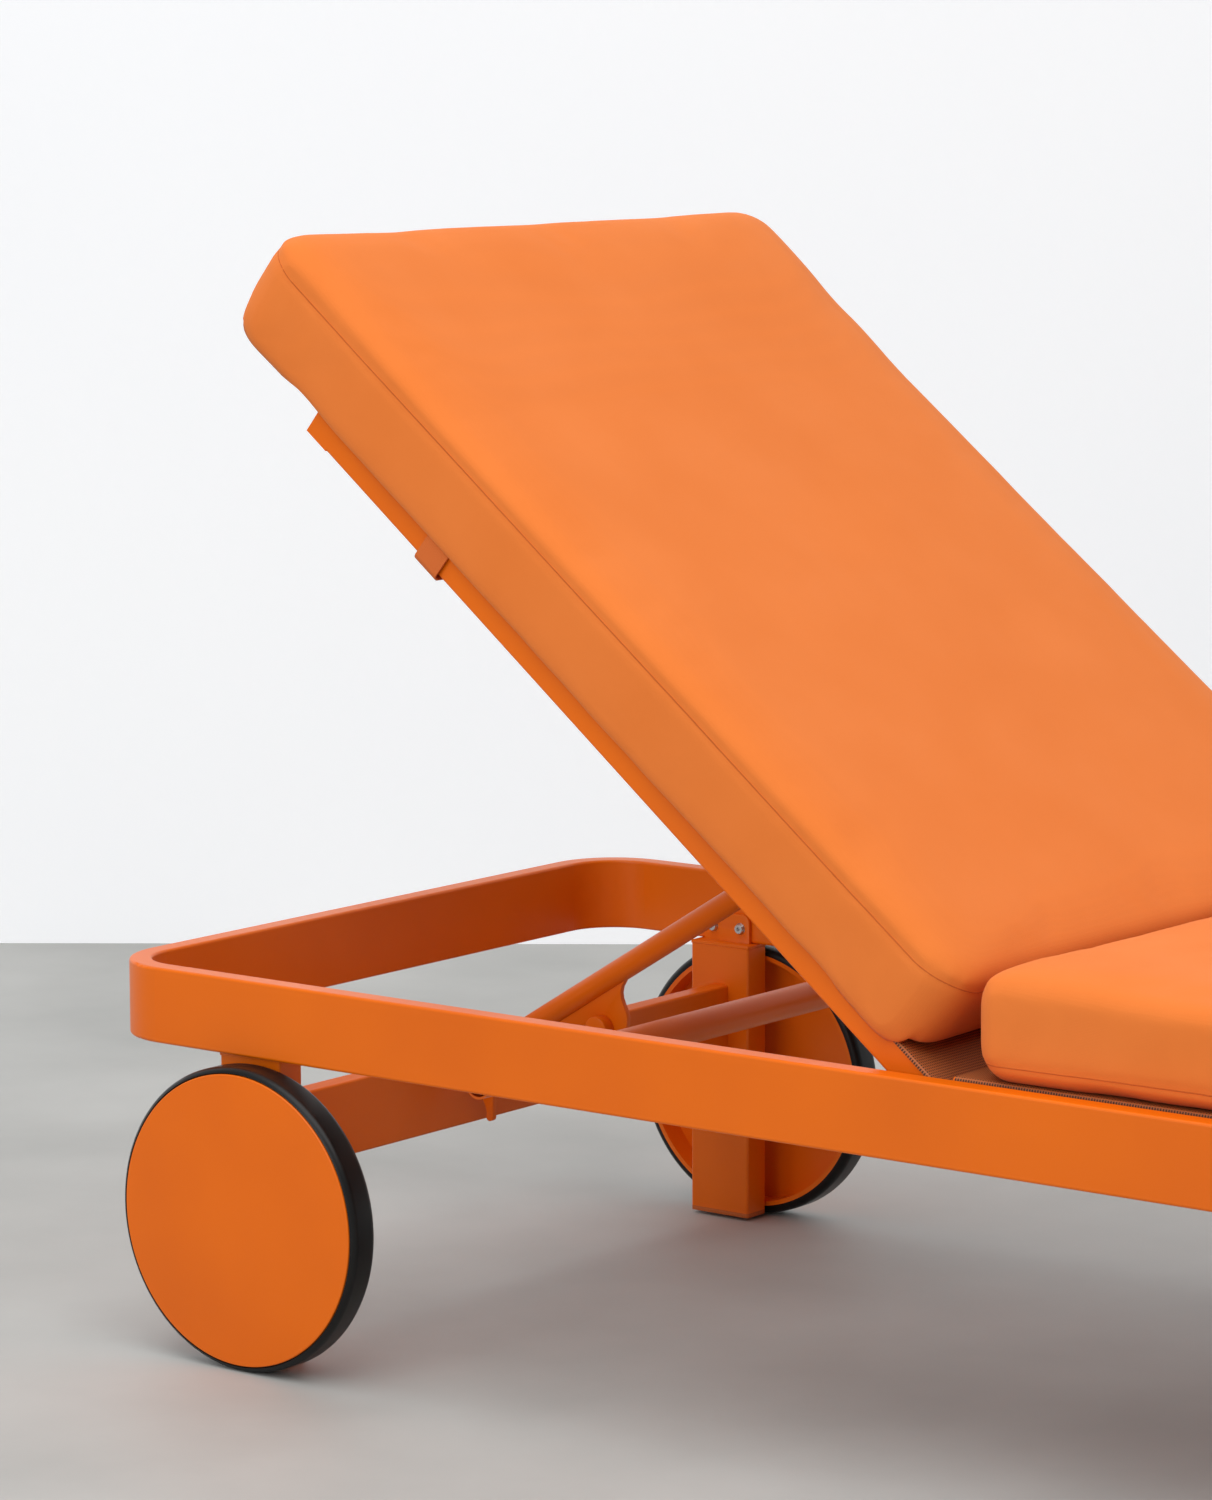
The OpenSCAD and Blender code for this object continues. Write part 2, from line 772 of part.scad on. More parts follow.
// Outline of the hook plate, seen from the right, in the prop's own frame. Its
// lower edge stays clear of the rod while the prop swings down past it.
hook_outline = [
    [-foot_past, -prop_r + 4], [-foot_past, -prop_r - 3], [-rod_r - 0.5, -prop_r - 3],
    [rod_r + 1, -prop_r - 3], [11, -prop_r - 5.5], [19, -prop_r - 12], [32, -prop_r - 21.5],
    [45, -prop_r - 29], [58, -prop_r - 35.5], [66, -prop_r - 38.3], [73, -prop_r - 39.6],
    [79, -prop_r - 39], [84.5, -prop_r - 36.6], [89, -prop_r - 33], [92.2, -prop_r - 28.5],
    [93.9, -prop_r - 23], [94.4, -prop_r - 17], [95.2, -prop_r - 11.5], [97.2, -prop_r - 7],
    [101, -prop_r - 3], [106, -prop_r - 0.5], [112, -prop_r + 4]
];
grip_s = 65;               // grip knob, along the prop from above the rod
grip_n = prop_r + 24.8;    // and below the prop's middle

// Plate under the prop that hooks over the rod
module prop_hook() {
    color(frame_orange)
        on_prop()
            difference() {
                translate([0, hook_t / 2, 0])
                    rotate([90, 0, 0]) linear_extrude(hook_t) polygon(hook_outline);
                translate([-foot_past - 1, 0, 0])
                    rotate([0, 90, 0]) cylinder(d = prop_d, h = foot_past + 130);
                pin_y(0, -rest_drop, -hook_t, hook_t, rod_d + 2 * gap);
                pin_y(grip_s, -grip_n, -hook_t, hook_t, grip_d - 8);
            }
}

// Knob through the hook plate for lifting the prop off the rod
module prop_grip() {
    color(frame_orange)
        on_prop() {
            pin_y(grip_s, -grip_n, -hook_t / 2, hook_t / 2, grip_d - 8);
            for (side = [-1, 1])
                on_side(side) pin_y(grip_s, -grip_n, -grip_len / 2, -hook_t / 2, grip_d);
        }
}

// ---- one line per node ----

head_frame();
foot_frame();
rail_joiners();
leg(wheel_leg_lift, true);  // leg_head_right
on_side(1) leg(wheel_leg_lift, true);  // leg_head_left
mirror([1, 0, 0]) leg(0, false);  // leg_foot_right
mirror([1, 0, 0]) on_side(1) leg(0, false);  // leg_foot_left
leg_bracket();  // bracket_head_right
on_side(1) leg_bracket();  // bracket_head_left
mirror([1, 0, 0]) leg_bracket();  // bracket_foot_right
mirror([1, 0, 0]) on_side(1) leg_bracket();  // bracket_foot_left
glide(wheel_leg_lift);  // glide_head_right
on_side(1) glide(wheel_leg_lift);  // glide_head_left
mirror([1, 0, 0]) glide(0);  // glide_foot_right
mirror([1, 0, 0]) on_side(1) glide(0);  // glide_foot_left
leg_screws();
beam();  // beam_head
mirror([1, 0, 0]) beam();  // beam_foot
prop_plate();  // prop_plate_right
on_side(1) prop_plate();  // prop_plate_left
prop_rod();
rod_collars();
cross_tube();
backrest_stop();  // stop_right
on_side(1) backrest_stop();  // stop_left
stop_pads();
axle();  // axle_right
on_side(1) axle();  // axle_left
axle_nuts();
axle_washers();
wheel_core();  // wheel_core_right
on_side(1) wheel_core();  // wheel_core_left
wheel_cover();  // wheel_cover_right
on_side(1) wheel_cover();  // wheel_cover_left
tyre();  // tyre_right
on_side(1) tyre();  // tyre_left
wheel_bush();  // wheel_bush_right
on_side(1) wheel_bush();  // wheel_bush_left
hinge_bolts();
hinge_spacers();
seat_frame();
seat_mesh();
seat_spacers();
seat_screws();
seat_cushion();
back_frame();
back_mesh();
hinge_bushes();
prop_lugs();
prop_pin();
back_cushion();
strap();  // strap_right
on_side(1) strap();  // strap_left
prop_tube();
prop_hook();
prop_grip();
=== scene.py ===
# %% [markdown]
# # A reclining sun lounger
#
# The lounger is a painted tubular frame on four legs, with two wheels at the
# head end, a hinged backrest on a prop strut, and two loose box cushions.
# The tubes, wheels and hinges come from the CAD model, which is loaded first
# and never moved. This file adds the soft pieces, the rounded finishes and
# the materials, and then the light and the camera.

import json
import math

import bmesh
import bpy
from mathutils import Matrix, Vector, noise
from mathutils.bvhtree import BVHTree
from mathutils.kdtree import KDTree


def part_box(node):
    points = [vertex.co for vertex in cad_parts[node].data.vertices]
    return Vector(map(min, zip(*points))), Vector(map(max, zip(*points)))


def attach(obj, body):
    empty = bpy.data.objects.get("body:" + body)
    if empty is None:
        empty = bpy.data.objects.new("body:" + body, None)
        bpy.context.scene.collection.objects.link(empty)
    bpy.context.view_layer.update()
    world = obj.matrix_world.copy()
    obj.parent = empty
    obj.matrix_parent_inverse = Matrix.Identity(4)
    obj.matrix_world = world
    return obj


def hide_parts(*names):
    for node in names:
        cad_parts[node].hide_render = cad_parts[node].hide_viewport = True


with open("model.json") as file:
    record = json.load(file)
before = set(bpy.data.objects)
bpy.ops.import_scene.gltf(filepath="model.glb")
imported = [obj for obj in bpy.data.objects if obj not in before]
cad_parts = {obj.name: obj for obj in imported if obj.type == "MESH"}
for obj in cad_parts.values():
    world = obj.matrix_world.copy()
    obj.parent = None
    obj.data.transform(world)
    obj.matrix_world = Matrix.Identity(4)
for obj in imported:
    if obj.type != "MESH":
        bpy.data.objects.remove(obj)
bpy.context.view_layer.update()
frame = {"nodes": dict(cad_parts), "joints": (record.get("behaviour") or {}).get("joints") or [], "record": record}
MM = 0.001

# %% [markdown]
# Sizes that the new pieces share come from the model itself. The hinge's
# place is written in the record, and the backrest's angle is the travel that
# its joint still has before it lies flat.

# %% Shared sizes
joints = {joint["name"]: joint for joint in frame["joints"]}
hinge = Vector(joints["backrest_recline"]["pos_m"])
BACK_ANGLE = -math.radians(joints["backrest_recline"]["range_deg"][0])
UPRIGHT = Matrix.Translation(hinge) @ Matrix.Rotation(BACK_ANGLE, 4, "Y")
seat_low, seat_high = (Vector(c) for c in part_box("seat_frame"))
TUBE = seat_high.z - seat_low.z
print("hinge", hinge, "back angle", round(math.degrees(BACK_ANGLE), 1), "tube", round(TUBE, 4))

# %% [markdown]
# ## Camera
#
# The camera stands off the near side, towards the foot end and a little
# higher than the backrest, and looks back at the head end with a long lens,
# so the rails stay almost parallel. A camera looks along its own -Z, so it is first
# tipped up from the floor and then turned round the vertical.

# %% Camera
CAMERA_PLACE = (1.9006, -3.3802, 1.0838)
CAMERA_TURN, CAMERA_DIP, CAMERA_ROLL = (math.radians(a) for a in (37.69, 8.114, 0.143))
camera_data = bpy.data.cameras.new("camera")
camera_data.sensor_fit = "VERTICAL"
camera_data.sensor_height = 36.0
camera_data.lens = 123.18
camera = bpy.data.objects.new("camera", camera_data)
bpy.context.scene.collection.objects.link(camera)
camera.matrix_world = (
    Matrix.Translation(CAMERA_PLACE)
    @ Matrix.Rotation(CAMERA_TURN, 4, "Z")
    @ Matrix.Rotation(math.pi / 2 - CAMERA_DIP, 4, "X")
    @ Matrix.Rotation(-CAMERA_ROLL, 4, "Z")
)
bpy.context.scene.camera = camera
print("camera at", CAMERA_PLACE, "with a", camera_data.lens, "mm lens")

# %% [markdown]
# ## Floor and light
#
# The floor is a plain pale plane, and a white backdrop stands behind the
# lounger, nearly square to the camera. It glows a little, and hides the
# lounger from a camera that stands behind it. A wide panel overhead and a
# second one on the near side give the rest of the light, with a soft, even
# world. The colours are shown without a film curve, because strong orange
# turns pale under one.

# %% Floor
FLOOR_HALF = 14.0
FLOOR_DARK, FLOOR_PALE = (0.385, 0.385, 0.365), (0.52, 0.515, 0.49)
BACKDROP_DARK, BACKDROP_PALE = (0.80, 0.81, 0.83), (0.83, 0.84, 0.85)
BACKDROP_FOOT = (-1.854, 1.274, 0.0)
BACKDROP_TURN = math.radians(36.3)
BACKDROP_GLOW = 0.26


def node_tree(name):
    """A new material with its nodes, links and Principled shader."""
    material = bpy.data.materials.new(name)
    material.use_nodes = True
    nodes, links = material.node_tree.nodes, material.node_tree.links
    return material, nodes, links, nodes["Principled BSDF"]


def object_coordinates(nodes, links, turn=(0, 0, 0)):
    """Object coordinates, turned so that a pattern follows a tilted piece."""
    where = nodes.new("ShaderNodeTexCoord")
    mapping = nodes.new("ShaderNodeMapping")
    mapping.inputs["Rotation"].default_value = turn
    links.new(where.outputs["Object"], mapping.inputs["Vector"])
    return mapping.outputs["Vector"]


def noise_value(nodes, links, vector, scale, detail=2.0):
    """The grey value of a Noise texture, around 0.5."""
    texture = nodes.new("ShaderNodeTexNoise")
    texture.inputs["Scale"].default_value = scale
    texture.inputs["Detail"].default_value = detail
    links.new(vector, texture.inputs["Vector"])
    return texture.outputs["Fac"]


def remap(nodes, links, value, low, high, from_low=0.3, from_high=0.7):
    """value moved from one range to another."""
    step = nodes.new("ShaderNodeMapRange")
    ends = {"From Min": from_low, "From Max": from_high, "To Min": low, "To Max": high}
    for name, number in ends.items():
        step.inputs[name].default_value = number
    links.new(value, step.inputs["Value"])
    return step.outputs["Result"]


def mix_colours(nodes, links, factor, first, second):
    """Two colours mixed by a value."""
    mix = nodes.new("ShaderNodeMix")
    mix.data_type = "RGBA"
    mix.inputs["A"].default_value = (*first, 1)
    mix.inputs["B"].default_value = (*second, 1)
    links.new(factor, mix.inputs["Factor"])
    return mix.outputs["Result"]


def bump(nodes, links, shader, height, strength, distance):
    """Small relief from a height value, on the shader's normal."""
    node = nodes.new("ShaderNodeBump")
    node.inputs["Strength"].default_value = strength
    node.inputs["Distance"].default_value = distance
    links.new(height, node.inputs["Height"])
    links.new(node.outputs["Normal"], shader.inputs["Normal"])
    return node


def floor_material():
    """Pale, faintly mottled screed."""
    material, nodes, links, shader = node_tree("pale_floor")
    vector = object_coordinates(nodes, links)
    cloud = noise_value(nodes, links, vector, 2.2, 8.0)
    shade = remap(nodes, links, cloud, 0, 1)
    colour = mix_colours(nodes, links, shade, FLOOR_DARK, FLOOR_PALE)
    links.new(colour, shader.inputs["Base Color"])
    shader.inputs["Roughness"].default_value = 0.62
    return material


def backdrop_material():
    """White paint, a little uneven, that glows softly."""
    material, nodes, links, shader = node_tree("white_backdrop")
    vector = object_coordinates(nodes, links)
    cloud = noise_value(nodes, links, vector, 0.8, 2.0)
    shade = remap(nodes, links, cloud, 0, 1)
    colour = mix_colours(nodes, links, shade, BACKDROP_DARK, BACKDROP_PALE)
    links.new(colour, shader.inputs["Base Color"])
    shader.inputs["Roughness"].default_value = 0.9
    shader.inputs["Emission Color"].default_value = (0.96, 0.98, 1.0, 1)
    shader.inputs["Emission Strength"].default_value = BACKDROP_GLOW
    return material


def stage_plane(name, size, material, place):
    """A flat square that is part of the studio, not of the lounger."""
    builder = bmesh.new()
    bmesh.ops.create_grid(builder, x_segments=1, y_segments=1, size=size)
    bmesh.ops.transform(builder, matrix=place, verts=builder.verts)
    data = bpy.data.meshes.new(name)
    builder.to_mesh(data)
    builder.free()
    data.materials.append(material)
    plane = bpy.data.objects.new(name, data)
    bpy.context.scene.collection.objects.link(plane)
    print(name, 2 * size, "m wide")


backdrop_place = (
    Matrix.Translation(BACKDROP_FOOT)
    @ Matrix.Rotation(BACKDROP_TURN, 4, "Z")
    @ Matrix.Rotation(math.pi / 2, 4, "X")
)
stage_plane("floor", FLOOR_HALF, floor_material(), Matrix.Identity(4))
stage_plane("backdrop", FLOOR_HALF, backdrop_material(), backdrop_place)

# %% Lights
scene = bpy.context.scene
scene.view_settings.view_transform = "Standard"
world = bpy.data.worlds.new("studio")
scene.world = world
world.use_nodes = True
world.node_tree.nodes["Background"].inputs["Color"].default_value = (0.93, 0.96, 1.0, 1)
world.node_tree.nodes["Background"].inputs["Strength"].default_value = 0.35


def soft_panel(name, place, target, width, height, power):
    """A rectangular soft light aimed at a point."""
    data = bpy.data.lights.new(name, "AREA")
    data.shape = "RECTANGLE"
    data.size, data.size_y = width, height
    data.energy = power
    light = bpy.data.objects.new(name, data)
    light.location = place
    light.rotation_euler = (Vector(target) - Vector(place)).to_track_quat("-Z", "Y").to_euler()
    scene.collection.objects.link(light)
    return light


soft_panel("overhead_panel", (0.7, -1.7, 4.4), (0.3, -0.8, 0.0), 5.4, 4.4, 192)
soft_panel("front_panel", (-0.9, -4.4, 1.7), (-0.2, 0, 0.4), 3.0, 2.2, 50)

# %% [markdown]
# ## Materials
#
# Every pattern reads Object coordinates, which are metres in the lounger's
# own frame, so a scale of 1000 means one millimetre.
#
# The frame is powder coated. Baked powder is smooth but never flat: it has a
# faint orange-peel ripple and its gloss wanders a little along a tube.

# %% Powder coat
PAINT_LIGHT, PAINT_DEEP = (0.860, 0.160, 0.0010), (0.790, 0.140, 0.0008)


def powder_coat(name):
    """Satin orange powder coat with a faint ripple."""
    material, nodes, links, shader = node_tree(name)
    vector = object_coordinates(nodes, links)
    drift = noise_value(nodes, links, vector, 7.0)
    colour = mix_colours(nodes, links, remap(nodes, links, drift, 0, 1), PAINT_LIGHT, PAINT_DEEP)
    links.new(colour, shader.inputs["Base Color"])
    links.new(remap(nodes, links, drift, 0.34, 0.42), shader.inputs["Roughness"])
    bump(nodes, links, shader, noise_value(nodes, links, vector, 850.0), 0.10, 0.0002)
    shader.inputs["Specular IOR Level"].default_value = 0.28
    return material


paint = powder_coat("orange_powder_coat")
print("made", paint.name)

# %% [markdown]
# The cushion covers are a plain weave of solution-dyed yarn. Three sets of
# bands, one along each axis, cross on every face of a box cushion: the set
# that runs into the face is constant there, and the other two make the
# weave. A little sheen stands for the fibres that catch grazing light.

# %% Woven cloth
CLOTH_LIGHT, CLOTH_DEEP = (0.840, 0.212, 0.036), (0.790, 0.190, 0.030)
YARN = 0.0011
WAVE_METRES = 0.314  # a Wave texture of scale 1 has bands this far apart
WEAVE_SHADE = -0.35


def bands(nodes, links, vector, axis, pitch):
    """A Wave texture of parallel threads along one axis."""
    wave = nodes.new("ShaderNodeTexWave")
    wave.bands_direction = axis
    wave.inputs["Scale"].default_value = WAVE_METRES / pitch
    wave.inputs["Distortion"].default_value = 0.6
    wave.inputs["Detail Scale"].default_value = 2.0
    links.new(vector, wave.inputs["Vector"])
    return wave.outputs["Fac"]


def larger(nodes, links, first, second):
    """The larger of two values."""
    step = nodes.new("ShaderNodeMath")
    step.operation = "MAXIMUM"
    links.new(first, step.inputs[0])
    links.new(second, step.inputs[1])
    return step.outputs["Value"]


def woven_cloth(name, turn, light=CLOTH_LIGHT, deep=CLOTH_DEEP, pitch=YARN, depth=0.00025):
    """Plain-woven cloth; turn lines the weave up with the piece."""
    material, nodes, links, shader = node_tree(name)
    vector = object_coordinates(nodes, links, turn)
    across = bands(nodes, links, vector, "X", pitch)
    along = bands(nodes, links, vector, "Y", pitch)
    weave = larger(nodes, links, across, along)
    weave = larger(nodes, links, weave, bands(nodes, links, vector, "Z", pitch))
    slub = noise_value(nodes, links, vector, 9.0, 4.0)
    mixed = nodes.new("ShaderNodeMath")
    mixed.operation = "MULTIPLY_ADD"
    links.new(weave, mixed.inputs[0])
    mixed.inputs[1].default_value = WEAVE_SHADE
    links.new(remap(nodes, links, slub, 0.35, 0.95), mixed.inputs[2])
    colour = mix_colours(nodes, links, mixed.outputs["Value"], light, deep)
    links.new(colour, shader.inputs["Base Color"])
    links.new(remap(nodes, links, slub, 0.78, 0.9), shader.inputs["Roughness"])
    bump(nodes, links, shader, weave, 0.35, depth)
    shader.inputs["Sheen Weight"].default_value = 0.10
    shader.inputs["Sheen Roughness"].default_value = 0.45
    shader.inputs["Sheen Tint"].default_value = (1.0, 0.72, 0.50, 1)
    shader.inputs["Specular IOR Level"].default_value = 0.25
    return material


TILTED, LEVEL = (0, -BACK_ANGLE, 0), (0, 0, 0)
WEBBING_LIGHT, WEBBING_DEEP = (0.70, 0.155, 0.03), (0.58, 0.12, 0.02)
WEBBING_YARN = 0.0016
back_cloth = woven_cloth("cushion_cloth_tilted", TILTED)
seat_cloth = woven_cloth("cushion_cloth_level", LEVEL)
webbing = woven_cloth("strap_webbing", TILTED, WEBBING_LIGHT, WEBBING_DEEP, WEBBING_YARN)
print("made", back_cloth.name, seat_cloth.name, webbing.name)

# %% [markdown]
# The slings under the cushions are coated mesh: round threads with open
# holes between them. The holes are drawn dark rather than cut through, since
# nothing but shadow is ever seen behind them.

# %% Sling mesh
THREAD = 0.0023
HOLE_COLOUR, THREAD_COLOUR = (0.055, 0.018, 0.006), (0.46, 0.125, 0.026)


def sling_cloth(name, turn):
    """Coated mesh with dark holes between its threads."""
    material, nodes, links, shader = node_tree(name)
    vector = object_coordinates(nodes, links, turn)
    across = bands(nodes, links, vector, "X", THREAD)
    along = bands(nodes, links, vector, "Y", THREAD)
    threads = larger(nodes, links, across, along)
    cover = remap(nodes, links, threads, 0, 1, 0.35, 0.75)
    colour = mix_colours(nodes, links, cover, HOLE_COLOUR, THREAD_COLOUR)
    links.new(colour, shader.inputs["Base Color"])
    links.new(remap(nodes, links, threads, 0.8, 0.5, 0, 1), shader.inputs["Roughness"])
    bump(nodes, links, shader, threads, 0.6, 0.0006)
    return material


back_sling_cloth = sling_cloth("sling_mesh_tilted", TILTED)
seat_sling_cloth = sling_cloth("sling_mesh_level", LEVEL)
print("made", back_sling_cloth.name, seat_sling_cloth.name)

# %% [markdown]
# Tyres are black rubber with a faint dusty bloom. Bolts and screws are satin
# steel with fine turning marks, and the hinge bushes, stop pads and leg
# glides are moulded plastic.

# %% Rubber, metal and plastic
RUBBER_DARK, RUBBER_DUSTY = (0.004, 0.004, 0.0042), (0.008, 0.0078, 0.0075)


def rubber(name):
    """Black rubber with a dusty bloom."""
    material, nodes, links, shader = node_tree(name)
    vector = object_coordinates(nodes, links)
    dust = noise_value(nodes, links, vector, 26.0, 5.0)
    shade = remap(nodes, links, dust, 0, 1)
    colour = mix_colours(nodes, links, shade, RUBBER_DARK, RUBBER_DUSTY)
    links.new(colour, shader.inputs["Base Color"])
    links.new(remap(nodes, links, dust, 0.28, 0.40), shader.inputs["Roughness"])
    shader.inputs["Specular IOR Level"].default_value = 0.28
    bump(nodes, links, shader, noise_value(nodes, links, vector, 700.0), 0.06, 0.0002)
    return material


def satin_metal(name, colour, roughness):
    """Metal with fine turning marks."""
    material, nodes, links, shader = node_tree(name)
    vector = object_coordinates(nodes, links)
    marks = noise_value(nodes, links, vector, 1500.0, 1.0)
    amount = remap(nodes, links, marks, 0, 1)
    shade = mix_colours(nodes, links, amount, colour, tuple(0.86 * c for c in colour))
    links.new(shade, shader.inputs["Base Color"])
    rough = remap(nodes, links, marks, roughness - 0.05, roughness + 0.08)
    links.new(rough, shader.inputs["Roughness"])
    shader.inputs["Metallic"].default_value = 1.0
    bump(nodes, links, shader, marks, 0.05, 0.0001)
    return material


def moulded_plastic(name, colour):
    """Matt plastic with a spark-eroded grain."""
    material, nodes, links, shader = node_tree(name)
    vector = object_coordinates(nodes, links)
    grain = noise_value(nodes, links, vector, 1100.0, 3.0)
    amount = remap(nodes, links, grain, 0, 1)
    shade = mix_colours(nodes, links, amount, colour, tuple(0.85 * c for c in colour))
    links.new(shade, shader.inputs["Base Color"])
    links.new(remap(nodes, links, grain, 0.48, 0.6), shader.inputs["Roughness"])
    bump(nodes, links, shader, grain, 0.15, 0.0002)
    return material


tyre_rubber = rubber("tyre_rubber")
steel = satin_metal("satin_steel", (0.60, 0.60, 0.61), 0.28)
mill_aluminium = satin_metal("mill_aluminium", (0.72, 0.72, 0.73), 0.4)
black_plastic = moulded_plastic("black_plastic", (0.02, 0.02, 0.021))
orange_plastic = moulded_plastic("orange_plastic", (0.60, 0.125, 0.01))
FINISHES = {
    "frame_paint": paint,
    "cushion_fabric": seat_cloth,
    "mesh_fabric": seat_sling_cloth,
    "tyre": tyre_rubber,
    "steel": steel,
    "bare_aluminium": mill_aluminium,
    "black_plastic": black_plastic,
    "orange_plastic": orange_plastic,
}
print("finishes:", sorted(FINISHES))

# %% [markdown]
# ## The CAD pieces
#
# Each CAD piece names its finish in the record, so one loop gives every tube,
# bolt and plate its material.

# %% Finish the CAD pieces
slots = {part["node"]: part["material_slot"] for part in frame["record"]["subparts"]}
for name, node in frame["nodes"].items():
    node.data.materials.clear()
    node.data.materials.append(FINISHES[slots[name]])
print("finished", len(slots), "CAD pieces")

# %% [markdown]
# Plates that were cut from sheet, and the moulded glides, have sharp edges in
# the CAD model. Real ones are tumbled before they are painted, and it is the
# small rounded edge that catches the light. A copy of the piece is cleaned,
# its flat faces are joined up, its sharp edges are bevelled, and the copy
# stands for the CAD piece.

# %% Ease the plates' edges
SHARP = math.radians(35)
WELD = 1e-6
FLAT = math.radians(0.5)
PLATE_EASE, CAST_EASE = 0.5 * MM, 0.8 * MM


def new_object(name, builder, material, body, replaced=(), smooth=SHARP):
    """Turns a bmesh into a finished piece that rides on a body."""
    data = bpy.data.meshes.new(name)
    builder.to_mesh(data)
    builder.free()
    data.materials.append(material)
    data.polygons.foreach_set("use_smooth", [True] * len(data.polygons))
    data.set_sharp_from_angle(angle=smooth)
    piece = bpy.data.objects.new(name, data)
    bpy.context.scene.collection.objects.link(piece)
    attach(piece, body)
    if replaced:
        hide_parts(*replaced)
    return piece


def eased_copy(node_name, body, radius):
    """A copy of a CAD piece with its sharp edges rounded."""
    source = frame["nodes"][node_name]
    builder = bmesh.new()
    builder.from_mesh(source.data)
    bmesh.ops.remove_doubles(builder, verts=builder.verts, dist=WELD)
    bmesh.ops.dissolve_limit(
        builder, angle_limit=FLAT, verts=builder.verts, edges=builder.edges
    )
    sharp = [e for e in builder.edges if e.is_manifold and e.calc_face_angle(0) > SHARP]
    bmesh.ops.bevel(
        builder, geom=sharp, offset=radius, segments=2, profile=0.5,
        affect="EDGES", material=-1, clamp_overlap=True,
    )
    holes = [e for e in builder.edges if not e.is_manifold]
    print(node_name, "eased", len(sharp), "edges;", len(holes), "open edges")
    if holes:
        builder.free()
        return None
    slot = slots[node_name]
    return new_object(node_name + "_eased", builder, FINISHES[slot], body, [node_name])


EASED = ["prop_plate_right", "prop_plate_left", "stop_right", "stop_left", "rod_collars"]
LEG_NAMES = [f"{end}_{side}" for end in ("head", "foot") for side in ("right", "left")]
EASED += [f"bracket_{leg}" for leg in LEG_NAMES]
for name in EASED:
    eased_copy(name, "frame", PLATE_EASE)
for name in ("prop_hook", "prop_grip"):
    eased_copy(name, "prop", CAST_EASE)
for leg in LEG_NAMES:
    eased_copy(f"glide_{leg}", "frame", CAST_EASE)

# %% [markdown]
# ## Wheels
#
# A wheel shows a flat painted disc with a thin black tyre round it. Both are
# turned shapes, so each one is a half profile spun about the axle. The disc's
# profile ends in a small rounded lip. The tyre's has rounded shoulders, with
# a fine groove where it meets the disc.

# %% Spin the wheel covers and tyres
LIP, LIP_INSET = 1.2 * MM, 0.3 * MM
TREAD, TYRE_DEPTH = 7 * MM, 7.5 * MM
BEAD_GAP, BEAD_STEP, BEAD_DEPTH = 0.2 * MM, 0.5 * MM, 1.4 * MM
axles = {side: Vector(joints[f"wheel_{side}_spin"]["pos_m"]) for side in ("right", "left")}


def spun(profile, centre, outward, steps=144):
    """Spins points of (radius, depth along outward * Y) about the axle."""
    builder = bmesh.new()
    ring = [builder.verts.new((r, outward * y, 0)) for r, y in profile]
    edges = [builder.edges.new(pair) for pair in zip(ring, ring[1:])]
    if profile[0][0] > 0:
        edges.append(builder.edges.new((ring[-1], ring[0])))
    bmesh.ops.spin(
        builder, geom=ring + edges, cent=(0, 0, 0), axis=(0, 1, 0),
        angle=math.tau, steps=steps, use_merge=True,
    )
    bmesh.ops.remove_doubles(builder, verts=builder.verts, dist=WELD)
    bmesh.ops.recalc_face_normals(builder, faces=builder.faces)
    bmesh.ops.translate(builder, verts=builder.verts, vec=centre)
    return builder


def arc(centre, radius, start, stop, count):
    """Points on an arc, as (radius, depth) pairs, with angles in degrees."""
    angles = [math.radians(start + (stop - start) * i / count) for i in range(count + 1)]
    return [(centre[0] + radius * math.cos(a), centre[1] + radius * math.sin(a)) for a in angles]


for side, outward in (("right", -1), ("left", 1)):
    low, high = (Vector(c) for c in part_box(f"wheel_cover_{side}"))
    outer = (high.x - low.x) / 2
    thick = high.y - low.y
    inner_y = high.y if outward < 0 else low.y
    centre = Vector((axles[side].x, inner_y, axles[side].z))
    cover = [(0, 0), (outer - LIP_INSET, 0)]
    cover += arc((outer - LIP_INSET - LIP, thick - LIP), LIP, 0, 90, 5) + [(0, thick)]
    new_object(
        f"wheel_disc_{side}", spun(cover, centre, outward), paint,
        f"wheel_{side}", [f"wheel_cover_{side}"],
    )
    tyre_low, tyre_high = (Vector(c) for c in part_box(f"tyre_{side}"))
    wide, reach = tyre_high.y - tyre_low.y, (tyre_high.x - tyre_low.x) / 2
    bead = outer + BEAD_GAP
    seat = reach - TYRE_DEPTH
    lip_angle = math.degrees(math.acos((bead + BEAD_STEP - reach + TREAD) / TREAD))
    tyre = [(seat, 0)] + arc((reach - TREAD, TREAD), TREAD, -90, 0, 8)
    tyre += arc((reach - TREAD, wide - TREAD), TREAD, 0, lip_angle - 4, 8)
    tyre += [(bead + BEAD_STEP, wide - BEAD_STEP), (bead, wide - BEAD_DEPTH)]
    tyre += [(bead, wide - thick), (seat, wide - thick)]
    centre = Vector((axles[side].x, tyre_high.y if outward < 0 else tyre_low.y, axles[side].z))
    new_object(
        f"tyre_round_{side}", spun(tyre, centre, outward), tyre_rubber,
        f"wheel_{side}", [f"tyre_{side}"], math.radians(50),
    )
    print("wheel", side, "disc radius", round(outer, 4), "tyre radius", round(reach, 4))

# %% [markdown]
# ## Slings
#
# A sling is a sheet of mesh stretched over the top of its frame. Its long
# edges turn down over the tubes, which is the part that shows beside the
# cushion. The sheet starts as a section across the frame, is extruded along
# it in small steps, and is given its thickness at the end. The back one
# runs on past the hinge as a short flap, which covers the gap to the seat.

# %% Stretch the slings
SLING = 1.0 * MM
EDGE_TURN = 3.2 * MM
FLAP = 20 * MM
HEAD_GAP = 20 * MM
SAG = 1.2 * MM
ACROSS, ALONG = 24, 40


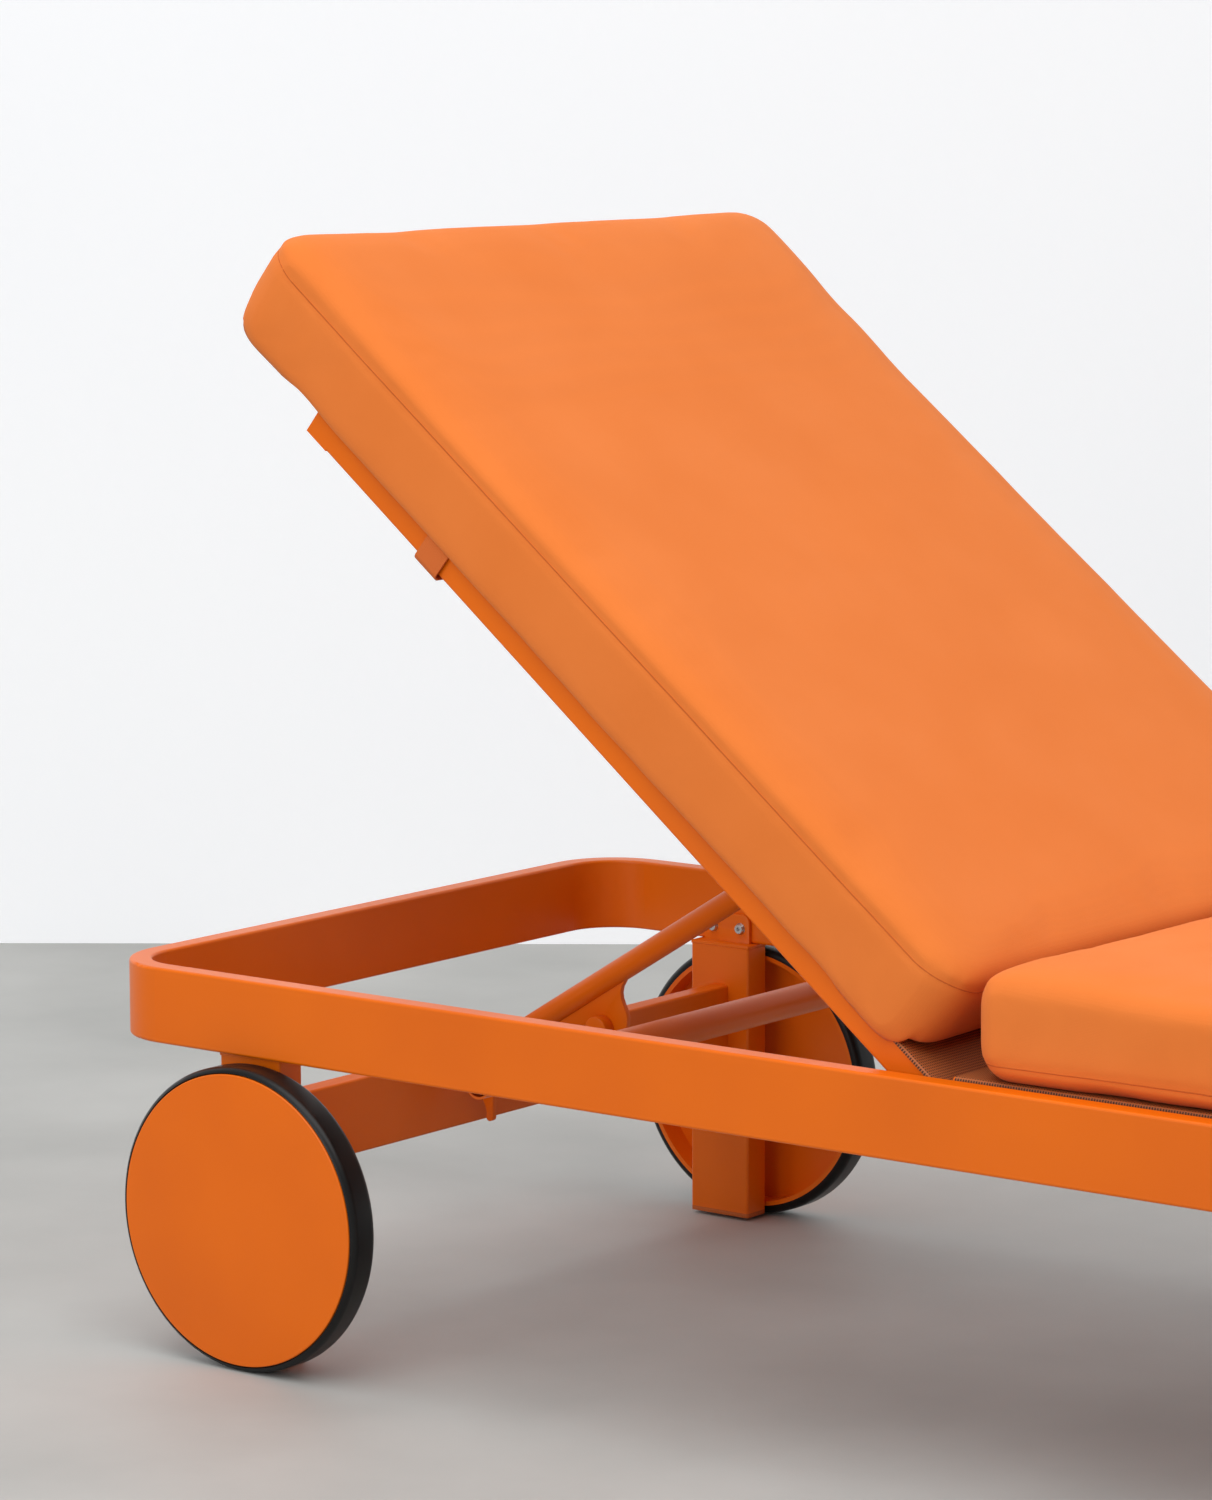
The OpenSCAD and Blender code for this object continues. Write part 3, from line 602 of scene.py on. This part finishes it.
def sling_section(half, top):
    """Points across the frame: down one edge, over the top, down the other."""
    turn = arc((half - EDGE_TURN, top - EDGE_TURN), EDGE_TURN, 0, 90, 5)
    reach = half - EDGE_TURN
    flat = [(reach - (2 * reach) * i / ACROSS, top) for i in range(1, ACROSS)]
    mirrored = [(-y, z) for y, z in reversed(turn)]
    return turn + flat + mirrored


def stretched_sling(name, length, half, top, place, material, body, replaced):
    """A sling of a given length, flat at first and then put in place."""
    builder = bmesh.new()
    section = [builder.verts.new((0, y, z)) for y, z in sling_section(half, top)]
    for pair in zip(section, section[1:]):
        builder.edges.new(pair)
    for _ in range(ALONG):
        last = [e for e in builder.edges if all(abs(v.co.x) < 1e-9 for v in e.verts)]
        grown = bmesh.ops.extrude_edge_only(builder, edges=last)
        moved = [v for v in grown["geom"] if isinstance(v, bmesh.types.BMVert)]
        stay = [v for v in builder.verts if v not in set(moved)]
        bmesh.ops.translate(builder, verts=stay, vec=(length / ALONG, 0, 0))
    bmesh.ops.recalc_face_normals(builder, faces=builder.faces)
    if sum(f.normal.z * f.calc_area() for f in builder.faces) < 0:
        bmesh.ops.reverse_faces(builder, faces=builder.faces)
    for v in builder.verts:
        middle = 1 - (v.co.y / half) ** 2
        sag = math.sin(math.pi * v.co.x / length) * middle
        v.co.z -= SAG * max(0, sag)
    bmesh.ops.solidify(builder, geom=builder.faces[:], thickness=SLING)
    bmesh.ops.transform(builder, matrix=place, verts=builder.verts)
    piece = new_object(name, builder, material, body, replaced)
    return piece


mesh_low, mesh_high = (Vector(c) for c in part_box("seat_mesh"))
HALF = seat_high.y
stretched_sling(
    "seat_sling", mesh_high.x - mesh_low.x, HALF + SLING, seat_high.z + SLING,
    Matrix.Translation((mesh_low.x, 0, 0)), seat_sling_cloth, "frame", ["seat_mesh"],
)
back_mesh = [UPRIGHT.inverted() @ v.co for v in frame["nodes"]["back_mesh"].data.vertices]
back_far = min(point.x for point in back_mesh)
back_near = max(point.x for point in back_mesh) + FLAP
stretched_sling(
    "back_sling", back_near - back_far - HEAD_GAP, HALF + SLING, TUBE / 2 + SLING,
    UPRIGHT @ Matrix.Translation((back_far + HEAD_GAP, 0, 0)), back_sling_cloth,
    "backrest", ["back_mesh"],
)

# %% [markdown]
# ## Cushions
#
# Each cushion is a foam block in a sewn cover: a top and a bottom panel with
# a band round the sides. Foam fills the middle, so the panels crown, the
# band bulges, and the corners stay tighter. A rounded block, slightly small,
# is blown up by a cloth simulation with pressure and no gravity. How far a
# point may move is capped. The shell is then scaled to its finished size,
# its crown is held down, and its underside is pressed flat where it lies.

# %% Block out a cushion
INFLATE = 9 * MM
PANEL_LOSS = 1.4 * INFLATE
VOXEL = 8 * MM
RIM = 13 * MM
FILL_PRESSURE, FILL_CAP, QUICK_RISE = 4.0, 7 * MM, 9 * MM
CROWN = 6 * MM
NOSE, NOSE_PINCH = 45 * MM, 0.16
PUFF, PUFF_RISE = 230 * MM, 7 * MM
SKIRT, SKIRT_FADE, SKIRT_HEIGHT = 12 * MM, 0.4, 0.55
SEAM_NEAR = 22 * MM
UNDER_SQUASH = 0.05


def cushion_block(length, width, thick, corner, edge):
    """A closed block with rounded corners, centred, standing on z = 0."""
    builder = bmesh.new()
    bmesh.ops.create_cube(builder, size=1.0)
    bmesh.ops.scale(builder, vec=(length, width, thick), verts=builder.verts)
    upright = [e for e in builder.edges if abs(e.verts[0].co.z - e.verts[1].co.z) > thick / 2]
    bmesh.ops.bevel(
        builder, geom=upright, offset=corner, segments=8, profile=0.5, affect="EDGES", material=-1
    )
    rim = [e for e in builder.edges if abs(e.calc_face_angle(0)) > math.radians(60)]
    bmesh.ops.bevel(
        builder, geom=rim, offset=edge, segments=4, profile=0.5, affect="EDGES", material=-1
    )
    bmesh.ops.translate(builder, verts=builder.verts, vec=(0, 0, thick / 2))
    return builder


def remeshed(name, builder, voxel):
    """An object with an even mesh over the block's surface."""
    data = bpy.data.meshes.new(name)
    builder.to_mesh(data)
    builder.free()
    piece = bpy.data.objects.new(name, data)
    scene.collection.objects.link(piece)
    step = piece.modifiers.new("even", "REMESH")
    step.mode = "VOXEL"
    step.voxel_size = voxel
    apply_modifiers(piece)
    return piece


def apply_modifiers(piece):
    """Bakes a piece's modifiers into its mesh."""
    depsgraph = bpy.context.evaluated_depsgraph_get()
    done = bpy.data.meshes.new_from_object(piece.evaluated_get(depsgraph), depsgraph=depsgraph)
    piece.modifiers.clear()
    piece.data = done


print("cushion blocks start", INFLATE / MM, "mm inside their finished size")

# %% Fill it by simulation


def filled(piece, pressure, cap, frames=20):
    """Blows a cloth shell up and keeps each point within cap of its start."""
    start = [v.co.copy() for v in piece.data.vertices]
    cloth = piece.modifiers.new("fill", "CLOTH")
    cloth.settings.use_pressure = True
    cloth.settings.uniform_pressure_force = pressure
    cloth.settings.effector_weights.gravity = 0
    cloth.settings.tension_stiffness = 25
    cloth.settings.compression_stiffness = 25
    cloth.settings.bending_stiffness = 2
    cloth.collision_settings.use_collision = False
    cloth.point_cache.frame_start, cloth.point_cache.frame_end = 1, frames
    for number in range(1, frames + 1):
        scene.frame_set(number)
    apply_modifiers(piece)
    scene.frame_set(1)
    for v, home in zip(piece.data.vertices, start):
        way = v.co - home
        if way.length > cap:
            v.co = home + way * (cap / way.length)


def fitted(piece, length, width, thick):
    """Scales a filled cushion to its finished size and rounds its head end."""
    points = [v.co.copy() for v in piece.data.vertices]
    low, high = (Vector(f(p[i] for p in points) for i in range(3)) for f in (min, max))
    panel = thick - PANEL_LOSS
    stretch = thick / (panel + CROWN)
    for v in piece.data.vertices:
        v.co.x = length * ((v.co.x - low.x) / (high.x - low.x) - 0.5)
        v.co.y = width * ((v.co.y - low.y) / (high.y - low.y) - 0.5)
        crown = max(0.0, v.co.z - panel) / (high.z - panel)
        v.co.z = stretch * (min(max(v.co.z, 0.0), panel) + CROWN * crown)
        high_up = v.co.z / thick
        nose = max(0.0, (NOSE - length / 2 - v.co.x) / NOSE)
        v.co.z += (thick / 2 - v.co.z) * NOSE_PINCH * nose**3
        puff = max(0.0, (PUFF - length / 2 - v.co.x) / PUFF)
        v.co.z += PUFF_RISE * high_up * math.sin(math.pi / 2 * puff)


# %% Shape the cover


def settled(piece, length, width, thick, looseness, seed, drop):
    """Adds the cover's slack, presses the underside flat and drops its side edges."""
    piece.data.update()
    normals = [n.vector.copy() for n in piece.data.vertex_normals]
    drift = Vector((seed * 3.7, seed * 1.9, seed * 5.3))
    for v, normal in zip(piece.data.vertices, normals):
        slow = noise.noise(v.co * 7 + drift)
        quick = noise.noise(v.co * 26 + drift)
        edge = min(length / 2 - abs(v.co.x), width / 2 - abs(v.co.y))
        near_seam = math.exp(-max(0, edge) / SEAM_NEAR)
        v.co += normal * looseness * (0.9 * slow + 0.28 * quick * (0.4 + near_seam))
        if v.co.z < 0:
            v.co.z *= UNDER_SQUASH
        out = (abs(v.co.y) - width / 2 + SKIRT) / (SKIRT_FADE * SKIRT)
        skirt = min(1.0, max(0.0, out))
        v.co.z -= drop * skirt * max(0.0, 1 - v.co.z / (SKIRT_HEIGHT * thick))


def finer(piece):
    """One level of subdivision, applied."""
    step = piece.modifiers.new("finer", "SUBSURF")
    step.levels = step.render_levels = 1
    apply_modifiers(piece)


def make_cushion(name, length, width, thick, corner, looseness, seed, drop):
    """A filled cushion at the origin: X along it, Z through it."""
    small = (length - 2 * INFLATE, width - 2 * INFLATE, thick - PANEL_LOSS)
    block = cushion_block(*small, corner, RIM)
    piece = remeshed(name, block, VOXEL)
    filled(piece, FILL_PRESSURE, FILL_CAP)
    finer(piece)
    fitted(piece, length, width, thick)
    settled(piece, length, width, thick, looseness, seed, drop)
    print(name, "has", len(piece.data.vertices), "vertices")
    return piece


# %% [markdown]
# The cover's panels meet in a plain seam: a fine line with the cloth pulled
# in beside it. It runs round the top edge of the back cushion and low on the
# sides of the seat cushion. The line follows the surface, so it is found by
# casting rays at the cushion from outside. The cloth beside it is then drawn
# in, and a thin thread of stitching lies in the dip.

# %% Sew the seams
STITCH_RADIUS = 0.5 * MM
STITCH_LIGHT, STITCH_DEEP = (0.62, 0.125, 0.018), (0.50, 0.10, 0.014)
STITCH_YARN = 0.0012
SEAM_STEP = 5 * MM
SEAM_DEPTH, SEAM_REACH = 1.2 * MM, 4 * MM
CORNER_STEPS = 12
CAST_FROM = 0.15


def rounded_outline(length, width, corner, step):
    """Points and outward directions round a rectangle with round corners."""
    found = []
    half_x, half_y = length / 2 - corner, width / 2 - corner
    for sx, sy, first in ((1, 1, 0), (-1, 1, 90), (-1, -1, 180), (1, -1, 270)):
        for i in range(CORNER_STEPS + 1):
            angle = math.radians(first + 90 * i / CORNER_STEPS)
            way = Vector((math.cos(angle), math.sin(angle), 0))
            found.append((Vector((sx * half_x, sy * half_y, 0)) + corner * way, way))
    even = []
    for (a, way_a), (b, way_b) in zip(found, found[1:] + found[:1]):
        count = max(1, round((b - a).length / step))
        for i in range(count):
            t = i / count
            even.append((a.lerp(b, t), way_a.lerp(way_b, t).normalized()))
    return even


def seam_points(piece, outline, height, lean):
    """Where the seam lies on the cushion's skin."""
    tree = BVHTree.FromPolygons(
        [v.co for v in piece.data.vertices], [p.vertices for p in piece.data.polygons]
    )
    found = []
    for point, way in outline:
        aim = (way * math.cos(lean) + Vector((0, 0, math.sin(lean)))).normalized()
        start = point + Vector((0, 0, height)) + aim * CAST_FROM
        hit = tree.ray_cast(start, -aim)[0]
        if hit is not None:
            found.append(hit)
    return found


def draw_in(piece, points, depth, reach):
    """Pulls the cloth in beside a seam."""
    tree = KDTree(len(points))
    for i, point in enumerate(points):
        tree.insert(point, i)
    tree.balance()
    piece.data.update()
    normals = [n.vector.copy() for n in piece.data.vertex_normals]
    for v, normal in zip(piece.data.vertices, normals):
        distance = tree.find(v.co)[2]
        if distance < 3 * reach:
            v.co -= normal * depth * math.exp(-((distance / reach) ** 2))


def thread(name, points, radius, material, closed=True):
    """A thin mesh tube along points."""
    curve = bpy.data.curves.new(name, "CURVE")
    curve.dimensions = "3D"
    curve.bevel_depth = radius
    curve.bevel_resolution = 1
    spline = curve.splines.new("POLY")
    spline.points.add(len(points) - 1)
    for place, point in zip(spline.points, points):
        place.co = (*point, 1)
    spline.use_cyclic_u = closed
    holder = bpy.data.objects.new(name, curve)
    scene.collection.objects.link(holder)
    depsgraph = bpy.context.evaluated_depsgraph_get()
    data = bpy.data.meshes.new_from_object(holder.evaluated_get(depsgraph), depsgraph=depsgraph)
    bpy.data.objects.remove(holder)
    data.materials.clear()
    data.materials.append(material)
    piece = bpy.data.objects.new(name, data)
    scene.collection.objects.link(piece)
    return piece


stitching = woven_cloth("seam_stitching", LEVEL, STITCH_LIGHT, STITCH_DEEP, STITCH_YARN)
print("made", stitching.name)

# %% Finish a cushion


def dressed_cushion(name, node, place, size, corner, seam, looseness, seed, drop, cloth, body):
    length, width, thick = size
    piece = make_cushion(name, length, width, thick, corner, looseness, seed, drop)
    outline = rounded_outline(length, width, corner + INFLATE, SEAM_STEP)
    height, lean = seam
    line = seam_points(piece, outline, height, lean)
    draw_in(piece, line, SEAM_DEPTH, SEAM_REACH)
    line = seam_points(piece, outline, height, lean)
    stitches = thread(f"{name}_seam", line, STITCH_RADIUS, stitching)
    piece.data.materials.clear()
    piece.data.materials.append(cloth)
    for part in (piece, stitches):
        part.data.transform(place)
        part.data.polygons.foreach_set("use_smooth", [True] * len(part.data.polygons))
        part.data.update()
        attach(part, body)
    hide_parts(node)
    return piece


def local_box(node, back_to_flat):
    """A CAD piece's corners after it is laid flat."""
    points = [back_to_flat @ v.co for v in frame["nodes"][node].data.vertices]
    low = Vector(min(p[i] for p in points) for i in range(3))
    high = Vector(max(p[i] for p in points) for i in range(3))
    return low, high


TOP_SEAM_DOWN, TOP_SEAM_LEAN = 22 * MM, math.radians(45)
BOTTOM_SEAM_UP, BOTTOM_SEAM_LEAN = 12 * MM, math.radians(-20)
back_drop = 15 * MM
flat = {"back_cushion": UPRIGHT.inverted(), "seat_cushion": Matrix.Identity(4)}
for node, name, corner, trim, from_bottom, looseness, seed, drop, cloth, body in (
    (
        "back_cushion", "back_pad", 34 * MM, (0, 11 * MM), False,
        0.8 * MM, 1, back_drop, back_cloth, "backrest",
    ),
    (
        "seat_cushion", "seat_pad", 22 * MM, (8 * MM, 0), True,
        1.8 * MM, 2, 0, seat_cloth, "frame",
    ),
):
    low, high = local_box(node, flat[node])
    low.x, high.x = low.x + trim[0], high.x + trim[1]
    middle = Vector(((low.x + high.x) / 2, 0, low.z))
    place = flat[node].inverted() @ Matrix.Translation(middle)
    size = tuple(high - low)
    top_seam = (size[2] - TOP_SEAM_DOWN, TOP_SEAM_LEAN)
    seam = (BOTTOM_SEAM_UP, BOTTOM_SEAM_LEAN) if from_bottom else top_seam
    dressed_cushion(name, node, place, size, corner, seam, looseness, seed, drop, cloth, body)
    print(name, "fills", [round(s, 3) for s in size])

# %% [markdown]
# ## Straps
#
# A loop of webbing on each side ties the back cushion to its frame. It comes
# out from under the cushion, passes round the side tube with a little slack,
# and goes back up on the inside.

# %% Wrap the straps
STRAP = 1.4 * MM
SLACK = 2.2 * MM
BEND = 5 * MM
SPREAD = 0.4 * MM


def strap_path(half):
    """Points of (y, z) round the tube, from the outside to the inside."""
    outside = half + SLACK
    bottom = -half - 1.6 * SLACK
    path = [(-outside + 0.6 * MM, half + 1.5 * MM), (-outside, 2 * MM)]
    path += [(-outside - SPREAD, bottom + BEND)]
    path += arc((-outside + BEND - SPREAD, bottom + BEND), BEND, 190, 270, 5)
    path += arc((half + SLACK / 2 - BEND, bottom + BEND), BEND, 275, 350, 5)
    return path + [(half + SLACK / 2, 2 * MM), (half + SLACK / 3, half - 0.5 * MM)]


for side, sign in (("right", 1), ("left", -1)):
    low, high = local_box(f"strap_{side}", UPRIGHT.inverted())
    builder = bmesh.new()
    section = [builder.verts.new((low.x, y, z)) for y, z in strap_path(TUBE / 2)]
    edges = [builder.edges.new(pair) for pair in zip(section, section[1:])]
    grown = bmesh.ops.extrude_edge_only(builder, edges=edges)
    moved = [v for v in grown["geom"] if isinstance(v, bmesh.types.BMVert)]
    bmesh.ops.translate(builder, verts=moved, vec=(high.x - low.x, 0, 0))
    bmesh.ops.solidify(builder, geom=builder.faces[:], thickness=STRAP)
    if sign < 0:
        bmesh.ops.scale(builder, vec=(1, -1, 1), verts=builder.verts)
    bmesh.ops.translate(builder, verts=builder.verts, vec=(0, (low.y + high.y) / 2, 0))
    bmesh.ops.recalc_face_normals(builder, faces=builder.faces)
    bmesh.ops.transform(builder, matrix=UPRIGHT, verts=builder.verts)
    new_object(
        f"tie_strap_{side}", builder, webbing, "backrest", [f"strap_{side}"]
    )
    print("strap", side, "is", round((high.x - low.x) / MM), "mm wide")
